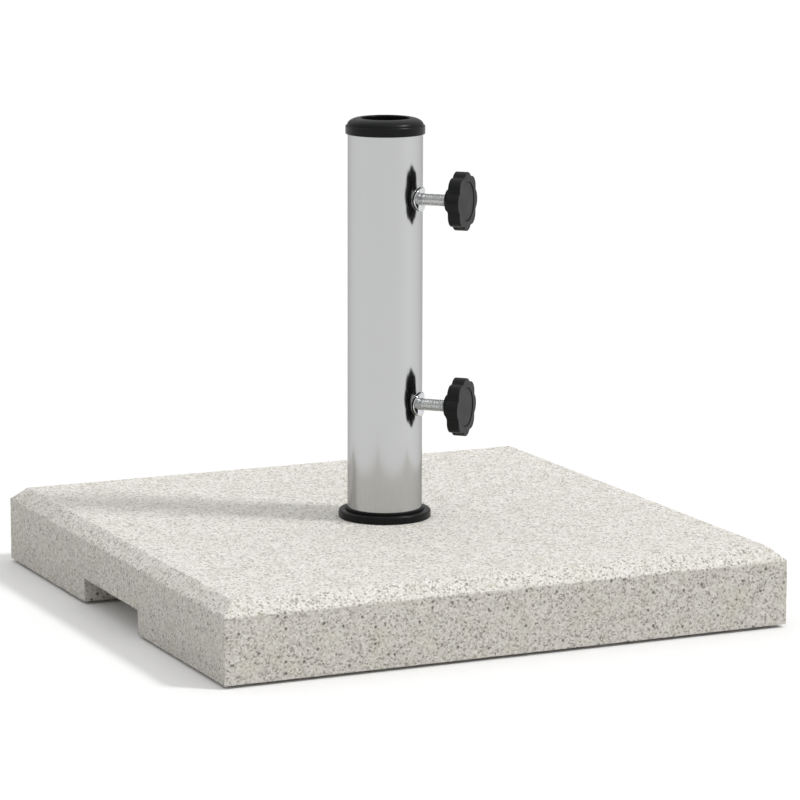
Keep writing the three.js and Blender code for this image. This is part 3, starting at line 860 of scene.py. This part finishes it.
CUBE_SIDES = (  # step to the cell on that side, and the side's corners, in order round it
    ((-1, 0, 0), ((0, 0, 0), (0, 0, 1), (0, 1, 1), (0, 1, 0))),
    ((1, 0, 0), ((1, 0, 0), (1, 1, 0), (1, 1, 1), (1, 0, 1))),
    ((0, -1, 0), ((0, 0, 0), (1, 0, 0), (1, 0, 1), (0, 0, 1))),
    ((0, 1, 0), ((0, 1, 0), (0, 1, 1), (1, 1, 1), (1, 1, 0))),
    ((0, 0, -1), ((0, 0, 0), (0, 1, 0), (1, 1, 0), (1, 0, 0))),
    ((0, 0, 1), ((0, 0, 1), (1, 0, 1), (1, 1, 1), (0, 1, 1))),
)


def slab_skin():
    """A block of grid cells without the two notches, as the closed skin of its outer faces."""
    low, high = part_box("granite_slab")
    half = high[0]
    notch_end = half - NOTCH_DEPTH
    notch_top = low[2] + NOTCH_HEIGHT
    shoulder = high[2] - CHAMFER_RISE
    xs = spaced([-half, -half + ARRIS, -notch_end, notch_end, half - ARRIS, half], GRID)
    ys = spaced([-half, -half + ARRIS, -NOTCH_HALF, NOTCH_HALF, half - ARRIS, half], GRID)
    zs = spaced([
        low[2], low[2] + ARRIS, notch_top, shoulder - ARRIS,
        shoulder, shoulder + ARRIS, high[2] - ARRIS, high[2],
    ], GRID)

    def inside(i, j, k):
        if not (0 <= i < len(xs) - 1 and 0 <= j < len(ys) - 1 and 0 <= k < len(zs) - 1):
            return False
        x, y, z = (xs[i] + xs[i + 1]) / 2, (ys[j] + ys[j + 1]) / 2, (zs[k] + zs[k + 1]) / 2
        return not (abs(x) > notch_end and abs(y) < NOTCH_HALF and z < notch_top)

    bm = bmesh.new()
    made = {}

    def vertex(i, j, k):
        if (i, j, k) not in made:
            rise = max(0.0, zs[k] - shoulder)
            squeeze = 1 - rise / CHAMFER_RISE * CHAMFER_RUN / half
            made[i, j, k] = bm.verts.new((xs[i] * squeeze, ys[j] * squeeze, zs[k]))
        return made[i, j, k]

    for i in range(len(xs) - 1):
        for j in range(len(ys) - 1):
            for k in range(len(zs) - 1):
                if not inside(i, j, k):
                    continue
                for step, corners in CUBE_SIDES:
                    if not inside(i + step[0], j + step[1], k + step[2]):
                        bm.faces.new([vertex(i + a, j + b, k + c) for a, b, c in corners])
    return bm


def weather(bm):
    """Wears the slab's edges unevenly and roughens its faces, always inwards."""
    bm.normal_update()
    moves = {}
    for v in bm.verts:
        crease = max((a.normal.angle(b.normal) for a in v.link_faces for b in v.link_faces), default=0)
        depth = FACE_WEAR * (1 + noise.fractal(v.co * FACE_WAVES, 1.0, 2.0, 3))
        if crease > CREASE:
            depth += EDGE_WEAR + EDGE_CHIPS * max(0.0, noise.noise(v.co * CHIP_WAVES + CHIP_OFFSET))
        moves[v] = v.normal * -max(depth, 0.0)
    for v, move in moves.items():
        v.co += move


def make_slab():
    low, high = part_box("granite_slab")
    bm = slab_skin()
    weather(bm)
    recess = (Matrix(), RECESS_RADIUS, low[2] - OVERRUN, low[2] + RECESS_DEPTH)
    bolt_hole = (Matrix(), BOLT_HOLE_RADIUS, low[2], high[2] + OVERRUN)
    stand_in("granite_slab", drilled(to_mesh("slab", bm), recess, bolt_hole), sharp=SLAB_SHARP)


PAD_RIDGE = 2.2 * MM  # from one groove of the pad's sole to the next
PAD_GROOVE = 0.35 * MM


def make_pads():
    """Rubber pads with ring-shaped grooves in their soles."""
    for node in [n for n in frame["nodes"] if n.endswith("_foot_pad")]:
        low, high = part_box(node)
        place = Matrix.Translation(((low[0] + high[0]) / 2, (low[1] + high[1]) / 2, 0))
        radius = (high[0] - low[0]) / 2
        corners = [(0, high[2]), (radius, high[2], 0.3 * MM), (radius, 0, 0.5 * MM)]
        outer = radius - PAD_RIDGE
        while outer > 2 * PAD_RIDGE:
            corners += [
                (outer, 0, 0.1 * MM),
                (outer - 0.3 * MM, PAD_GROOVE, 0.1 * MM),
                (outer - 0.9 * MM, PAD_GROOVE, 0.1 * MM),
                (outer - 1.2 * MM, 0, 0.1 * MM),
            ]
            outer -= PAD_RIDGE
        corners.append((0, 0))
        bm = bmesh.new()
        lathe(bm, rounded(corners, closed=False, steps=2), place, SMALL, closed=False)
        stand_in(node, to_mesh(node, bm))


def make_washer():
    low, high = heights("flat_washer")
    hole = 6.3 * MM
    edge = 22 * MM
    bm = bmesh.new()
    lathe(bm, rounded([
        (hole, low, 0.3 * MM),
        (edge, low, 0.6 * MM),
        (edge, high, 0.2 * MM),
        (hole, high, 0.2 * MM),
    ]))
    stand_in("flat_washer", to_mesh("washer", bm))


BOLT_RADIUS = 6 * MM
BOLT_HEAD_HEIGHT = 7.5 * MM
BOLT_HEAD_ACROSS = 18 * MM  # across the flats


def make_bolt():
    """Hexagon bolt that holds the tube's foot down, its head under the slab."""
    low, high = heights("centre_bolt")
    corner = BOLT_HEAD_ACROSS / math.sqrt(3)
    end_corner = BOLT_HEAD_ACROSS * 0.47  # the head's end is chamfered
    top = low + BOLT_HEAD_HEIGHT
    shank_low = top - 0.5 * MM
    bm = bmesh.new()
    head = [
        (0, low),
        (end_corner, low, 0.2 * MM),
        (corner, low + 1.1 * MM),
        (corner, top, 0.3 * MM),
        (0, top),
    ]
    lathe(bm, rounded(head, closed=False), steps=6, closed=False)
    shank = [(0, shank_low), (BOLT_RADIUS, shank_low), (BOLT_RADIUS, high, 1 * MM), (0, high)]
    lathe(bm, rounded(shank, closed=False), steps=SMALL, closed=False)
    stand_in("centre_bolt", to_mesh("bolt", bm))


# ---- Build ------------------------------------------------------------------------------------------

bpy.context.scene.view_settings.view_transform = "Standard"
make_camera()
make_floor()
make_sky()
make_sun()
make_tube()
make_ring()
make_cap()
make_slab()
make_pads()
make_washer()
make_bolt()
for clamp in CLAMPS:
    clamp_frame, clamp_outward = clamp_place(clamp)
    make_insert(clamp, clamp_frame, clamp_outward)
    make_screw(clamp, clamp_frame, clamp_outward)
    make_pressure_pad(clamp, clamp_frame, clamp_outward)
    make_knob(clamp, clamp_frame, clamp_outward)
    make_knob_cap(clamp, clamp_frame, clamp_outward)
for kept in ("tube_foot", "spring_washer"):  # their CAD shapes are right as they are
    data = frame["nodes"][kept].data
    data.materials.clear()
    data.materials.append(MATERIALS[SLOT_OF[kept]])
